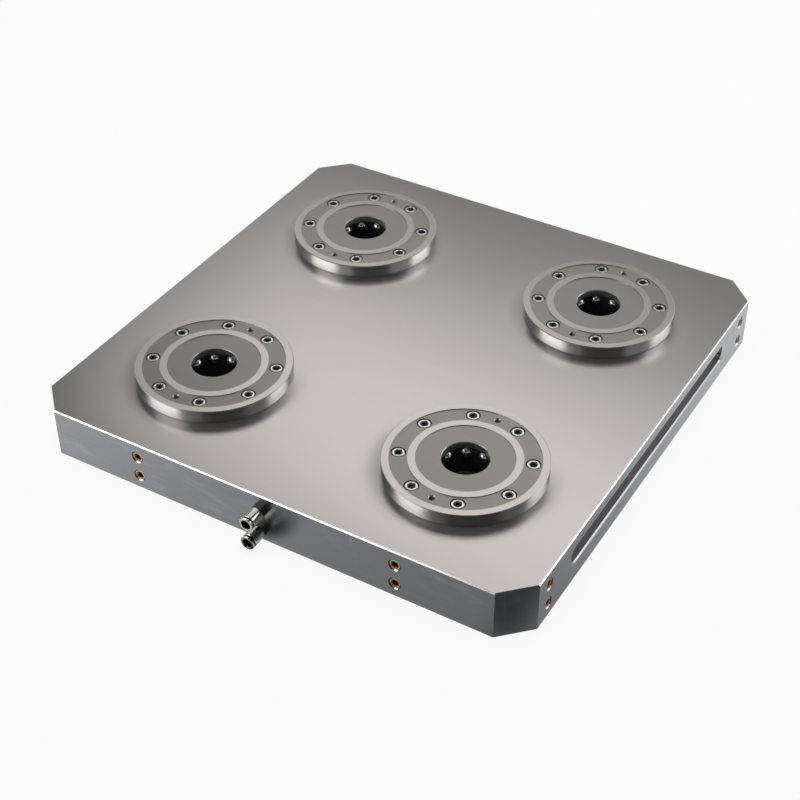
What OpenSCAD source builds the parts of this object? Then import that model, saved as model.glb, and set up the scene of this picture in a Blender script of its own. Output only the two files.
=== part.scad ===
// Pneumatic zero point clamping plate with four ball-lock modules.
// The origin is the centre of the plate's underside, the air fittings are on the -Y face.
// All moving pieces are drawn locked: pistons up, balls in, release collars out.

/* [Plate] */
// Plate width, left to right
plate_w = 475; // [460:5:600]
// Plate depth, front to back
plate_d = 475; // [460:5:600]
// Plate thickness
plate_t = 48; // [46:1:60]
// Length cut off each side at a corner
corner_cut = 25; // [10:1:35]
// Chamfer along the plate's outer edges
edge_chamfer = 1; // [0.4:0.1:2]
// Distance between module axes, left to right
pitch_x = 250; // [200:5:280]
// Distance between module axes, front to back
pitch_y = 250; // [200:5:270]
// Plate left under a module pocket
pocket_floor = 8; // [7:0.5:10]
// Chamfer at the mouth of a module pocket
pocket_chamfer = 0.8; // [0.2:0.1:1]
// Depth of the cage seat in the pocket floor
cage_seat = 2; // [1:0.5:3]

/* [Clamping grooves] */
// Length of a side groove, end to end
groove_len = 312; // [200:2:330]
// Height of a side groove
groove_h = 16; // [10:1:20]
// Depth of a side groove
groove_depth = 16; // [8:1:25]
// Height of a groove's centre line above the underside
groove_z = 27.5; // [20:0.5:30]
// Chamfer round a groove's mouth
groove_chamfer = 1.2; // [0.4:0.1:2]

/* [Air channels] */
// Channel that runs through the module pockets
main_channel_d = 7; // [6.5:0.5:8]
// Channel that links the main channels
cross_channel_d = 6; // [4:0.5:6]
// Distance of a cross channel beyond the module axes
channel_offset = 70; // [64:1:76]
// Upper row of channels below the plate's top face
upper_row_drop = 14; // [13:0.5:15]
// Lower row of channels above the underside
lower_row_rise = 14; // [13:0.5:15]
// Thread diameter of a port
port_d = 9.7; // [8.8:0.1:11]
// Countersink round a plugged port
port_countersink = 0.9; // [0.2:0.1:1.5]
// Length of a screw plug
plug_len = 8; // [6:0.5:12]
// How far a plug lies below the face
plug_sink = 0.6; // [0:0.1:2]
// Hexagon socket of a plug, across flats
plug_socket = 5; // [4:0.5:6]
// Depth of a plug's socket
plug_socket_depth = 4; // [2:0.5:5]

/* [Module covers] */
// Outer diameter of a cover
cover_d = 138; // [134:1:146]
// Height of a cover above the plate
cover_h = 12; // [11:0.5:14]
// Width of the raised ring at the rim
rim_ring_w = 6.5; // [4:0.5:8]
// Outer diameter of the raised ring at the hub
hub_ring_d = 94.8; // [88:0.2:98]
// Width of the raised ring at the hub
hub_ring_w = 6.4; // [4:0.2:8]
// Height of the raised rings over the recesses
ring_rise = 0.6; // [0.2:0.1:1]
// Chamfer on a cover's outer edges
cover_chamfer = 0.6; // [0.2:0.1:1.5]
// Bore for the pull stud
stud_bore_d = 40; // [38:0.5:42]
// Distance from the cover's top to the cage under it
bore_lip = 6.7; // [6:0.1:7.5]
// Chamfer at the mouth of the stud bore
bore_chamfer = 0.5; // [0.2:0.1:1.5]
// Depth of the cover's spigot in the plate
spigot_h = 7; // [6:0.5:8]
// Pitch circle of the cover screws
screw_pcd = 110; // [108:1:116]
// Screws in a cover
screw_count = 8; // [4:4:12]
// Core diameter of a tapped jack hole
jack_core_d = 5; // [4:0.1:5.5]
// Mouth diameter of a tapped jack hole
jack_mouth_d = 6.4; // [6:0.1:8]

/* [Cover screws] */
// Thread diameter
screw_d = 6; // [5:0.5:8]
// Head diameter
screw_head_d = 11; // [8.5:0.5:12]
// Head height
screw_head_h = 6; // [5:0.5:6.5]
// Length under the head
screw_len = 20; // [16:1:25]
// Hexagon socket, across flats
screw_socket = 5; // [4:0.5:6]
// Depth of the socket
screw_socket_depth = 3; // [2:0.5:4]
// How far a head lies below the cover's recess
screw_head_sink = 0.3; // [0:0.1:0.8]

/* [Ball lock] */
// Diameter of a locking ball
ball_d = 10; // [8:0.5:10.5]
// Balls in a module
ball_count = 8; // [6:1:8]
// How far a locked ball stands into the stud bore
ball_reach = 2.7; // [1.5:0.1:3]
// How far a released ball stays clear of the stud bore
ball_release_gap = 0.1; // [0:0.05:0.3]
// Cage wall left over the ball holes
cage_roof = 0.5; // [0.3:0.1:1]
// How far the cage's bore stands back from the stud bore
cage_gap = 0.5; // [0.3:0.1:0.8]
// Wall of the cage
cage_wall = 4.45; // [4:0.05:4.8]
// Diameter of the guide for the stud's nose, at the bottom of the cage
nose_guide_d = 38; // [34:0.5:38.5]
// Height of the nose guide
nose_guide_len = 16; // [10:1:24]
// Thickness of the cage's closed bottom
cage_floor = 4; // [3:0.5:6]
// How far the cage's foot stands out
cage_foot_w = 3.4; // [2:0.2:3.8]
// Turn of the cage in module 1
cage_turn_1 = 38; // [0:1:44]
// Turn of the cage in module 2
cage_turn_2 = 28; // [0:1:44]
// Turn of the cage in module 3
cage_turn_3 = 30; // [0:1:44]
// Turn of the cage in module 4
cage_turn_4 = 44; // [0:1:44]

/* [Lock piston] */
// Bore of a module pocket, in which the piston slides
piston_d = 94; // [90:1:96]
// Travel of the piston from locked to released
piston_stroke = 6; // [4:0.5:7]
// Height of the piston head
head_h = 12; // [11:0.5:13]
// Height of the air chamber over a locked piston head
chamber_h = 9; // [7:0.5:10]
// Wall of the piston's nose at its top
nose_wall = 4.7; // [3:0.1:6]
// Gap between a locked piston's nose and the cover
nose_gap = 0.5; // [0.2:0.1:1]
// Wall between the piston's bore and its spring recess
hub_wall = 3.85; // [3.2:0.05:5]
// Wall between the spring recess and the piston's outside
skirt_wall = 3.35; // [2:0.05:5]
// Depth of the spring recess
spring_recess = 4; // [2:0.5:5]
// Bevel on the piston head's upper edge
head_bevel = 2; // [0.5:0.5:2.5]

/* [Springs and seals] */
// Thickness of a disc spring
disc_t = 1.8; // [1.2:0.1:2]
// Disc springs in a pack
disc_count = 4; // [2:2:4]
// Cord diameter of the piston and cover seals
seal_d = 2.8; // [2:0.1:3]
// Cord diameter of a tube seal
tube_seal_d = 1.5; // [1:0.1:1.6]

/* [Air fittings] */
// Outer diameter of the air tube
tube_d = 8; // [6:0.5:8.5]
// Body diameter
fitting_d = 13; // [12.5:0.5:15]
// Hexagon at the body's foot, across flats
fitting_hex = 12; // [11:0.5:14]
// Length of the hexagon
fitting_hex_len = 5.5; // [4:0.5:8]
// Length of the body beyond the plate
fitting_len = 18.2; // [17:0.2:24]
// Length of the thread in the plate
fitting_thread_len = 8; // [6:0.5:10]
// Air hole through the thread
fitting_hole_d = 5; // [3:0.5:5.5]
// Length of the tube's seat behind its seal
tube_seat_len = 3; // [2:0.5:3.5]
// Flange diameter of the release collar
collar_d = 12.8; // [11.4:0.2:14]
// Flange thickness of the release collar
collar_flange_t = 1.8; // [1:0.1:3]
// Wall of the release collar's stem
collar_wall = 1.15; // [0.8:0.05:1.2]
// Depth of the collar's bore in the body
collar_bore_len = 9.2; // [8:0.2:11]
// Travel of the release collar
collar_travel = 1.2; // [0.6:0.1:1.6]

/* [Clearances] */
// Running fit of piston, cage and spigot, per side
run_clear = 0.05; // [0.02:0.01:0.1]
// Threads and plugs in their holes, per side
thread_clear = 0.05; // [0.02:0.01:0.1]
// Balls to their holes and to the piston's cone
ball_clear = 0.1; // [0.05:0.01:0.2]
// Release collar and tube in their bores, per side
slide_clear = 0.1; // [0.05:0.01:0.2]
// Screw shanks and heads in a cover, per side
screw_clear = 0.9; // [0.3:0.05:1]
// Disc springs to the walls beside them
spring_clear = 0.6; // [0.3:0.1:0.8]

/* [Hidden] */
$fn = 96;
MODULES = [1, 2, 3, 4];
ROWS = ["upper", "lower"];
// A cut reaches this far past the face it starts from
over = 1;
// Small edge break on turned pieces
edge_break = 0.4;
// Room at the two sides of a seal in its groove
seal_room = 0.3;
// Room under a seal and between the discs of a spring pack
snug = 0.05;
// Room under a screw's tip in its tapped hole
tip_room = 2;

// Module axes, numbered round from the front left
module_x = [-pitch_x / 2, pitch_x / 2, pitch_x / 2, -pitch_x / 2];
module_y = [-pitch_y / 2, -pitch_y / 2, pitch_y / 2, pitch_y / 2];
cage_turn = [cage_turn_1, cage_turn_2, cage_turn_3, cage_turn_4];
row_z = [plate_t - upper_row_drop, lower_row_rise];
cross_y = pitch_y / 2 + channel_offset;
inlet_len = plate_d / 2 - cross_y;

// Heights in a module, from the top down
cover_top = plate_t + cover_h;
recess_z = cover_top - ring_rise;
roof_z = cover_top - bore_lip;
spigot_z = plate_t - spigot_h;
head_top = spigot_z - chamber_h;
head_bottom = head_top - head_h;
disc_top = head_bottom + spring_recess;
cage_bottom = pocket_floor - cage_seat;
screw_seat = recess_z - screw_head_sink - screw_head_h;
screw_tip = screw_seat - screw_len;

// Radii of the cage and places of the balls
stud_r = stud_bore_d / 2;
cage_in_r = stud_r + cage_gap;
cage_r = cage_in_r + cage_wall;
nose_guide_r = nose_guide_d / 2;
nose_guide_top = cage_bottom + cage_floor + nose_guide_len;
nose_lead_in = cage_in_r - nose_guide_r;
cage_foot_r = cage_r + cage_foot_w;
ball_r = ball_d / 2;
ball_hole_r = ball_r + ball_clear;
ball_locked_r = stud_r + ball_r - ball_reach;
ball_travel = ball_reach + ball_release_gap;
ball_z = roof_z - cage_roof - ball_hole_r;

// The piston's cone lies parallel to the way the balls take against it
cone_slope = ball_travel / piston_stroke;
cone_angle = atan(cone_slope);
touch_r = ball_locked_r + ball_hole_r * cos(cone_angle);
touch_z = ball_z - ball_hole_r * sin(cone_angle);
nose_top = roof_z - nose_gap;
cone_top_r = touch_r + (nose_top - touch_z) * cone_slope;
piston_bore_r = cage_r + run_clear;
cone_bottom_z = touch_z - (touch_r - piston_bore_r) / cone_slope;
nose_r = cone_top_r + nose_wall;
nose_bore_r = nose_r + run_clear;
pocket_r = piston_d / 2;
piston_r = pocket_r - run_clear;
spigot_r = pocket_r - run_clear;
hub_r = piston_bore_r + hub_wall;
skirt_r = piston_r - skirt_wall;

// Grooves for the seals
groove_half = seal_d / 2 + seal_room;
seal_depth = seal_d + snug;
piston_seal_z = (disc_top + head_top - head_bevel) / 2;
cover_seal_z = plate_t - spigot_h / 2;

// Pitch of the disc springs in their locked pack
disc_pitch = (disc_top - pocket_floor) / disc_count;
disc_in_r = hub_r + spring_clear;
disc_out_r = skirt_r - spring_clear;

// Ports and fittings, measured outwards from the plate's face
port_r = port_d / 2;
port_depth = max(plug_len + plug_sink, fitting_thread_len) + edge_break;
tube_r = tube_d / 2 + slide_clear;
stem_r = tube_r + collar_wall;
stem_bore_r = stem_r + slide_clear;
stem_bore_z = fitting_len - collar_bore_len;
collar_back = fitting_len + slide_clear + collar_travel;
stem_end = stem_bore_z + collar_travel + slide_clear;
tube_seal_z = stem_bore_z - tube_seal_d - seal_room;
tube_stop_z = tube_seal_z - tube_seal_d / 2 - seal_room - tube_seat_len;

module at_module(m) {
    translate([module_x[m - 1], module_y[m - 1], 0]) children();
}

// Copies round a circle, starting half a step from +X
module screw_circle() {
    for (k = [0 : screw_count - 1])
        rotate([0, 0, (k + 0.5) * 360 / screw_count])
            translate([screw_pcd / 2, 0, 0]) children();
}

// Turns a piece drawn along +Z to point out of the front face, at a channel row
module on_front(x, z) {
    translate([x, -plate_d / 2, z]) rotate([90, 0, 0]) children();
}

// Plugged channel ends: two rows on each of the four faces
module at_plugged_ports() {
    for (z = row_z, side = [-1, 1]) {
        for (x = [-pitch_x / 2, pitch_x / 2])
            translate([x, side * plate_d / 2, z]) rotate([-side * 90, 0, 0]) children();
        for (y = [-cross_y, cross_y])
            translate([side * plate_w / 2, y, z]) rotate([0, side * 90, 0]) children();
    }
}

module hexagon(across_flats, h) {
    cylinder(r = across_flats / 2 / cos(30), h = h, $fn = 6);
}

// Ring-shaped seal of a given cord, with its inner side at a radius
module seal_ring(inner_r, z, cord_d) {
    translate([0, 0, z]) rotate_extrude() translate([inner_r + cord_d / 2, 0]) circle(d = cord_d);
}

// Slab between two parallel faces, with the four long edges chamfered
module chamfered_slab(half) {
    c = edge_chamfer;
    rotate([90, 0, 0])
        linear_extrude(plate_w + plate_d, center = true)
            polygon([
                [-half, c], [-half + c, 0], [half - c, 0], [half, c],
                [half, plate_t - c], [half - c, plate_t], [-half + c, plate_t], [-half, plate_t - c]
            ]);
}

module plate_blank() {
    diagonal_half = (plate_w / 2 + plate_d / 2 - corner_cut) / sqrt(2);
    intersection() {
        chamfered_slab(plate_w / 2);
        rotate([0, 0, 90]) chamfered_slab(plate_d / 2);
        rotate([0, 0, 45]) chamfered_slab(diagonal_half);
        rotate([0, 0, -45]) chamfered_slab(diagonal_half);
    }
}

// Round-ended groove cut into the +X face, with a chamfered mouth
module side_groove() {
    r = groove_h / 2;
    c = groove_chamfer;
    end_y = groove_len / 2 - r;
    face = plate_w / 2;
    translate([face - groove_depth, 0, groove_z]) {
        for (s = [-1, 1])
            translate([0, s * end_y, 0]) rotate([0, 90, 0]) cylinder(r = r, h = groove_depth + over);
        translate([0, -end_y, -r]) cube([groove_depth + over, 2 * end_y, groove_h]);
    }
    translate([face - c, 0, groove_z]) {
        for (s = [-1, 1])
            translate([0, s * end_y, 0]) rotate([0, 90, 0]) cylinder(r1 = r, r2 = r + c, h = c);
        rotate([90, 0, 0])
            linear_extrude(2 * end_y, center = true)
                polygon([[0, -r], [c, -r - c], [c, r + c], [0, r]]);
    }
}

module module_pocket() {
    translate([0, 0, pocket_floor]) cylinder(r = pocket_r, h = plate_t - pocket_floor + over);
    translate([0, 0, cage_bottom]) cylinder(r = cage_foot_r + run_clear, h = cage_seat + over);
    translate([0, 0, plate_t - pocket_chamfer])
        cylinder(r1 = pocket_r, r2 = pocket_r + pocket_chamfer, h = pocket_chamfer);
    translate([0, 0, screw_tip - tip_room])
        screw_circle() cylinder(r = screw_d / 2 + thread_clear, h = plate_t);
}

module port_hole() {
    translate([0, 0, -port_depth]) cylinder(r = port_r + thread_clear, h = port_depth + over);
}

module channels() {
    for (z = row_z) {
        for (x = [-pitch_x / 2, pitch_x / 2])
            translate([x, 0, z]) rotate([90, 0, 0])
                cylinder(d = main_channel_d, h = plate_d - 2 * over, center = true);
        for (y = [-cross_y, cross_y])
            translate([0, y, z]) rotate([0, 90, 0])
                cylinder(d = cross_channel_d, h = plate_w - 2 * over, center = true);
        on_front(0, z) {
            port_hole();
            translate([0, 0, -inlet_len]) cylinder(d = fitting_hole_d, h = inlet_len);
        }
    }
    at_plugged_ports() {
        port_hole();
        translate([0, 0, -port_countersink])
            cylinder(
                r1 = port_r + thread_clear,
                r2 = port_r + thread_clear + port_countersink,
                h = port_countersink
            );
    }
}

module base_plate() {
    color("darkgray")
    difference() {
        plate_blank();
        for (m = MODULES) at_module(m) module_pocket();
        for (turn = [0, 180]) rotate([0, 0, turn]) side_groove();
        channels();
    }
}

// Turned cover: rings and recess on top, nose bore and spigot below
module cover() {
    cover_r = cover_d / 2;
    hub_ring_r = hub_ring_d / 2;
    c = cover_chamfer;
    color("silver")
    difference() {
        rotate_extrude()
            polygon([
                [stud_r, roof_z],
                [stud_r, recess_z - bore_chamfer],
                [stud_r + bore_chamfer, recess_z],
                [hub_ring_r - hub_ring_w, recess_z],
                [hub_ring_r - hub_ring_w, cover_top],
                [hub_ring_r, cover_top],
                [hub_ring_r, recess_z],
                [cover_r - rim_ring_w, recess_z],
                [cover_r - rim_ring_w, cover_top],
                [cover_r - c, cover_top],
                [cover_r, cover_top - c],
                [cover_r, plate_t + c],
                [cover_r - c, plate_t],
                [spigot_r, plate_t],
                [spigot_r, cover_seal_z + groove_half],
                [spigot_r - seal_depth, cover_seal_z + groove_half],
                [spigot_r - seal_depth, cover_seal_z - groove_half],
                [spigot_r, cover_seal_z - groove_half],
                [spigot_r, spigot_z + c],
                [spigot_r - c, spigot_z],
                [nose_bore_r, spigot_z],
                [nose_bore_r, cover_seal_z - groove_half],
                [nose_bore_r + seal_depth, cover_seal_z - groove_half],
                [nose_bore_r + seal_depth, cover_seal_z + groove_half],
                [nose_bore_r, cover_seal_z + groove_half],
                [nose_bore_r, roof_z]
            ]);
        screw_circle() {
            cylinder(r = screw_d / 2 + screw_clear / 2, h = cover_top);
            translate([0, 0, screw_seat]) cylinder(r = screw_head_d / 2 + screw_clear, h = cover_h);
        }
        for (s = [-1, 1])
            translate([0, s * screw_pcd / 2, 0]) jack_hole();
    }
}

// Tapped hole whose screw lifts the cover off the plate
module jack_hole() {
    mouth_depth = (jack_mouth_d - jack_core_d) / 2;
    cylinder(d = jack_core_d, h = cover_top);
    translate([0, 0, recess_z - mouth_depth])
        cylinder(d1 = jack_core_d, d2 = jack_mouth_d, h = mouth_depth);
}

module cover_screw() {
    head_top_z = screw_seat + screw_head_h;
    head_r = screw_head_d / 2;
    shank_r = screw_d / 2;
    difference() {
        rotate_extrude()
            polygon([
                [0, screw_tip],
                [shank_r - edge_break, screw_tip],
                [shank_r, screw_tip + edge_break],
                [shank_r, screw_seat],
                [head_r, screw_seat],
                [head_r, head_top_z - edge_break],
                [head_r - edge_break, head_top_z],
                [0, head_top_z]
            ]);
        translate([0, 0, head_top_z - screw_socket_depth]) hexagon(screw_socket, screw_socket_depth + over);
    }
}

module cover_screws() {
    color("lightgray")
    for (m = MODULES) at_module(m) screw_circle() cover_screw();
}

// Seals of the covers: one to the plate's pocket, one to the piston's nose
module cover_seals() {
    color("dimgray")
    for (m = MODULES) at_module(m) {
        seal_ring(spigot_r - seal_d, cover_seal_z, seal_d);
        seal_ring(nose_bore_r, cover_seal_z, seal_d);
    }
}

module at_balls(turn) {
    for (b = [1 : ball_count])
        rotate([0, 0, turn + (b - 1) * 360 / ball_count]) translate([ball_locked_r, 0, ball_z]) children();
}

// Closed cup with ball-nosed radial holes, which stop the balls from falling in
module ball_cage(turn) {
    color("darkslategray")
    difference() {
        rotate_extrude()
            polygon([
                [0, cage_bottom],
                [cage_foot_r, cage_bottom],
                [cage_foot_r, cage_bottom + cage_floor],
                [cage_r, cage_bottom + cage_floor],
                [cage_r, roof_z],
                [cage_in_r, roof_z],
                [cage_in_r, nose_guide_top + nose_lead_in],
                [nose_guide_r, nose_guide_top],
                [nose_guide_r, cage_bottom + cage_floor],
                [0, cage_bottom + cage_floor]
            ]);
        at_balls(turn) {
            sphere(r = ball_hole_r);
            rotate([0, 90, 0]) cylinder(r = ball_hole_r, h = ball_d);
        }
    }
}

module ball(turn) {
    color("gainsboro")
    rotate([0, 0, turn]) translate([ball_locked_r, 0, ball_z]) sphere(r = ball_r);
}

// Ring piston: sealed head, spring recess below, nose with the ball cone above
module lock_piston() {
    color("lightslategray")
    rotate_extrude()
        polygon([
            [piston_bore_r, head_bottom],
            [hub_r, head_bottom],
            [hub_r, disc_top],
            [skirt_r, disc_top],
            [skirt_r, head_bottom],
            [piston_r - edge_break, head_bottom],
            [piston_r, head_bottom + edge_break],
            [piston_r, piston_seal_z - groove_half],
            [piston_r - seal_depth, piston_seal_z - groove_half],
            [piston_r - seal_depth, piston_seal_z + groove_half],
            [piston_r, piston_seal_z + groove_half],
            [piston_r, head_top - head_bevel],
            [piston_r - head_bevel, head_top],
            [nose_r, head_top],
            [nose_r, nose_top - edge_break],
            [nose_r - edge_break, nose_top],
            [cone_top_r, nose_top],
            [piston_bore_r, cone_bottom_z],
            [piston_bore_r, piston_seal_z + groove_half],
            [piston_bore_r + seal_depth, piston_seal_z + groove_half],
            [piston_bore_r + seal_depth, piston_seal_z - groove_half],
            [piston_bore_r, piston_seal_z - groove_half]
        ]);
}

module piston_seals() {
    color("dimgray") {
        seal_ring(piston_r - seal_d, piston_seal_z, seal_d);
        seal_ring(piston_bore_r, piston_seal_z, seal_d);
    }
}

// Disc springs stacked rim to rim and bore to bore
module disc_springs() {
    color("slategray")
    for (k = [0 : disc_count - 1]) {
        low_r = k % 2 == 0 ? disc_out_r : disc_in_r;
        high_r = k % 2 == 0 ? disc_in_r : disc_out_r;
        foot = snug;
        top = disc_pitch - snug;
        translate([0, 0, pocket_floor + k * disc_pitch])
            rotate_extrude()
                polygon([[low_r, foot], [low_r, foot + disc_t], [high_r, top], [high_r, top - disc_t]]);
    }
}

module screw_plug() {
    difference() {
        rotate_extrude()
            polygon([
                [0, -plug_sink - plug_len],
                [port_r - edge_break, -plug_sink - plug_len],
                [port_r, -plug_sink - plug_len + edge_break],
                [port_r, -plug_sink - edge_break],
                [port_r - edge_break, -plug_sink],
                [0, -plug_sink]
            ]);
        translate([0, 0, -plug_sink - plug_socket_depth]) hexagon(plug_socket, plug_socket_depth + over);
    }
}

module channel_plugs() {
    color("peru")
    at_plugged_ports() screw_plug();
}

// Straight push-in fitting: thread, hexagon foot and round body with a stepped bore
module fitting_body() {
    hex_corner_r = fitting_hex / 2 / cos(30);
    body_r = fitting_d / 2;
    difference() {
        union() {
            intersection() {
                hexagon(fitting_hex, fitting_hex_len);
                rotate_extrude()
                    polygon([
                        [0, 0],
                        [hex_corner_r, 0],
                        [hex_corner_r, fitting_hex_len - edge_break],
                        [fitting_hex / 2, fitting_hex_len],
                        [0, fitting_hex_len]
                    ]);
            }
            rotate_extrude()
                polygon([
                    [0, -fitting_thread_len],
                    [port_r - edge_break, -fitting_thread_len],
                    [port_r, -fitting_thread_len + edge_break],
                    [port_r, fitting_hex_len - edge_break],
                    [body_r - edge_break, fitting_hex_len - edge_break],
                    [body_r - edge_break, fitting_hex_len + edge_break],
                    [body_r, fitting_hex_len + 2 * edge_break],
                    [body_r, fitting_len - edge_break],
                    [body_r - edge_break, fitting_len],
                    [0, fitting_len]
                ]);
        }
        rotate_extrude()
            polygon([
                [0, -fitting_thread_len - over],
                [fitting_hole_d / 2, -fitting_thread_len - over],
                [fitting_hole_d / 2, tube_stop_z],
                [tube_r, tube_stop_z],
                [tube_r, tube_seal_z - tube_seal_d / 2 - seal_room],
                [tube_r + tube_seal_d + snug, tube_seal_z - tube_seal_d / 2 - seal_room],
                [tube_r + tube_seal_d + snug, tube_seal_z + tube_seal_d / 2 + seal_room],
                [tube_r, tube_seal_z + tube_seal_d / 2 + seal_room],
                [tube_r, stem_bore_z],
                [stem_bore_r, stem_bore_z],
                [stem_bore_r, fitting_len + over],
                [0, fitting_len + over]
            ]);
    }
}

module fitting_bodies() {
    color("gainsboro")
    for (z = row_z) on_front(0, z) fitting_body();
}

module tube_seals() {
    color("dimgray")
    for (z = row_z) on_front(0, z) seal_ring(tube_r, tube_seal_z, tube_seal_d);
}

// Flanged collar that frees the tube when it is pressed in
module release_collar(row) {
    flange_r = collar_d / 2;
    front = collar_back + collar_flange_t;
    color("whitesmoke")
    on_front(0, row_z[row])
        rotate_extrude()
            polygon([
                [tube_r, stem_end],
                [stem_r, stem_end],
                [stem_r, collar_back],
                [flange_r - edge_break, collar_back],
                [flange_r, collar_back + edge_break],
                [flange_r, front - edge_break],
                [flange_r - edge_break, front],
                [tube_r + edge_break, front],
                [tube_r, front - edge_break]
            ]);
}

base_plate();
cover_screws();
cover_seals();
channel_plugs();
fitting_bodies();
tube_seals();
for (row = [0, 1]) {
    release_collar(row);
}
for (m = MODULES) {
    at_module(m) cover();
    at_module(m) ball_cage(cage_turn[m - 1]);
    at_module(m) lock_piston();
    at_module(m) piston_seals();
    at_module(m) disc_springs();
    for (b = [1 : ball_count]) {
        at_module(m) ball(cage_turn[m - 1] + (b - 1) * 360 / ball_count);
    }
}
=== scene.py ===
# %% [markdown]
# # A zero point clamping plate
# The packed CAD model holds every piece at its real place and size. This lesson dresses it:
# it gives each metal its finish, adds the small turned and threaded details, and sets up a
# plain studio. Everything is in metres, with the plate's underside at height 0.

# %% Load the packed frame
import math

import bmesh
import bpy
from mathutils import Matrix, Vector


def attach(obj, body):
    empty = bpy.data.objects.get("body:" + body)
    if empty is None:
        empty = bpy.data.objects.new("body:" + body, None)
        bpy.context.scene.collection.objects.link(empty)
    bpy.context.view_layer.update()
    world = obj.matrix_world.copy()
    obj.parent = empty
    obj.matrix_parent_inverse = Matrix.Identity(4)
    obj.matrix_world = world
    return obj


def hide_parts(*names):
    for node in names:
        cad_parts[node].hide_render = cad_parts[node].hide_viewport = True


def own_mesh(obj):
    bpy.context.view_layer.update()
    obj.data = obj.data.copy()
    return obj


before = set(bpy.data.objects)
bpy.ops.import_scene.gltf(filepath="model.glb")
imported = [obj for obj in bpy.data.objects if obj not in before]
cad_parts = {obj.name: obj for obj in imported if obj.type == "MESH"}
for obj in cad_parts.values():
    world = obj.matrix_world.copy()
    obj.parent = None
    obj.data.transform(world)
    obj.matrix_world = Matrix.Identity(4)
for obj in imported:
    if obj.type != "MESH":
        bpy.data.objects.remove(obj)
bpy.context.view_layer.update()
MM = 0.001
MODULES = {1: (-1, -1), 2: (1, -1), 3: (1, 1), 4: (-1, 1)}
PITCH_HALF = 125 * MM

# %% [markdown]
# ## The camera
# The view looks down on the plate from its front right. Angle, distance and lens were found by
# matching the plate's corners and the module circles, so that the picture is framed alike.

# %% Camera
AZIMUTH, ELEVATION, ROLL = (math.radians(a) for a in (31.044, 38.944, -0.379))
CAMERA_PLACE = Vector((0.58596, -0.99313, 0.91336))
LENS, SENSOR = 72.397, 36


def add_object(name, data):
    """A new object in the scene."""
    made = bpy.data.objects.new(name, data)
    bpy.context.scene.collection.objects.link(made)
    return made


def camera_turn():
    """Rotation of a camera that looks at the plate from azimuth and elevation, slightly rolled."""
    back = Vector((
        math.sin(AZIMUTH) * math.cos(ELEVATION),
        -math.cos(AZIMUTH) * math.cos(ELEVATION),
        math.sin(ELEVATION),
    ))
    right = Vector((math.cos(AZIMUTH), math.sin(AZIMUTH), 0))
    up = back.cross(right)
    rolled_right = right * math.cos(ROLL) + up * math.sin(ROLL)
    rolled_up = up * math.cos(ROLL) - right * math.sin(ROLL)
    return Matrix((rolled_right, rolled_up, back)).transposed()


camera_data = bpy.data.cameras.new("camera")
camera_data.lens = LENS
camera_data.sensor_width = SENSOR
camera = add_object("camera", camera_data)
camera.matrix_world = Matrix.Translation(CAMERA_PLACE) @ camera_turn().to_4x4()
bpy.context.scene.camera = camera
bpy.context.scene.view_settings.view_transform = "Standard"
print("camera at", tuple(round(v, 3) for v in CAMERA_PLACE))

# %% [markdown]
# ## Writing finishes as expressions
# A finish is a network of shader nodes. Wiring nodes by hand takes many lines, so a small class
# wraps a node's output, and adding or multiplying two wrapped outputs adds the Math node.

# %% Arithmetic on node outputs
class Wire:
    """An output of a shader node. Arithmetic on it adds Math nodes."""

    def __init__(self, finish, output):
        self.finish = finish
        self.output = output

    def maths(self, operation, first, second=0.0):
        return self.finish.node("ShaderNodeMath", {"operation": operation}, {0: first, 1: second})

    def __add__(self, other):
        return self.maths("ADD", self, other)

    def __sub__(self, other):
        return self.maths("SUBTRACT", self, other)

    def __rsub__(self, other):
        return self.maths("SUBTRACT", other, self)

    def __mul__(self, other):
        return self.maths("MULTIPLY", self, other)

    def __truediv__(self, other):
        return self.maths("DIVIDE", self, other)

    def __pow__(self, other):
        return self.maths("POWER", self, other)

    def __gt__(self, other):
        return self.maths("GREATER_THAN", self, other)

    def __lt__(self, other):
        return self.maths("LESS_THAN", self, other)

    def __abs__(self):
        return self.maths("ABSOLUTE", self)

    def sign(self):
        return self.maths("SIGN", self)

    def least(self, other):
        return self.maths("MINIMUM", self, other)

    def most(self, other):
        return self.maths("MAXIMUM", self, other)

    __radd__ = __add__
    __rmul__ = __mul__


def distance(across, along):
    return (across * across + along * along) ** 0.5


print("arithmetic by name:", [name for name in vars(Wire) if not name.startswith("_")])

# %% [markdown]
# A material in Blender starts with one Principled shader. The next class holds such a material
# while its nodes are added, with a short method for each kind of node that the finishes need.

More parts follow.
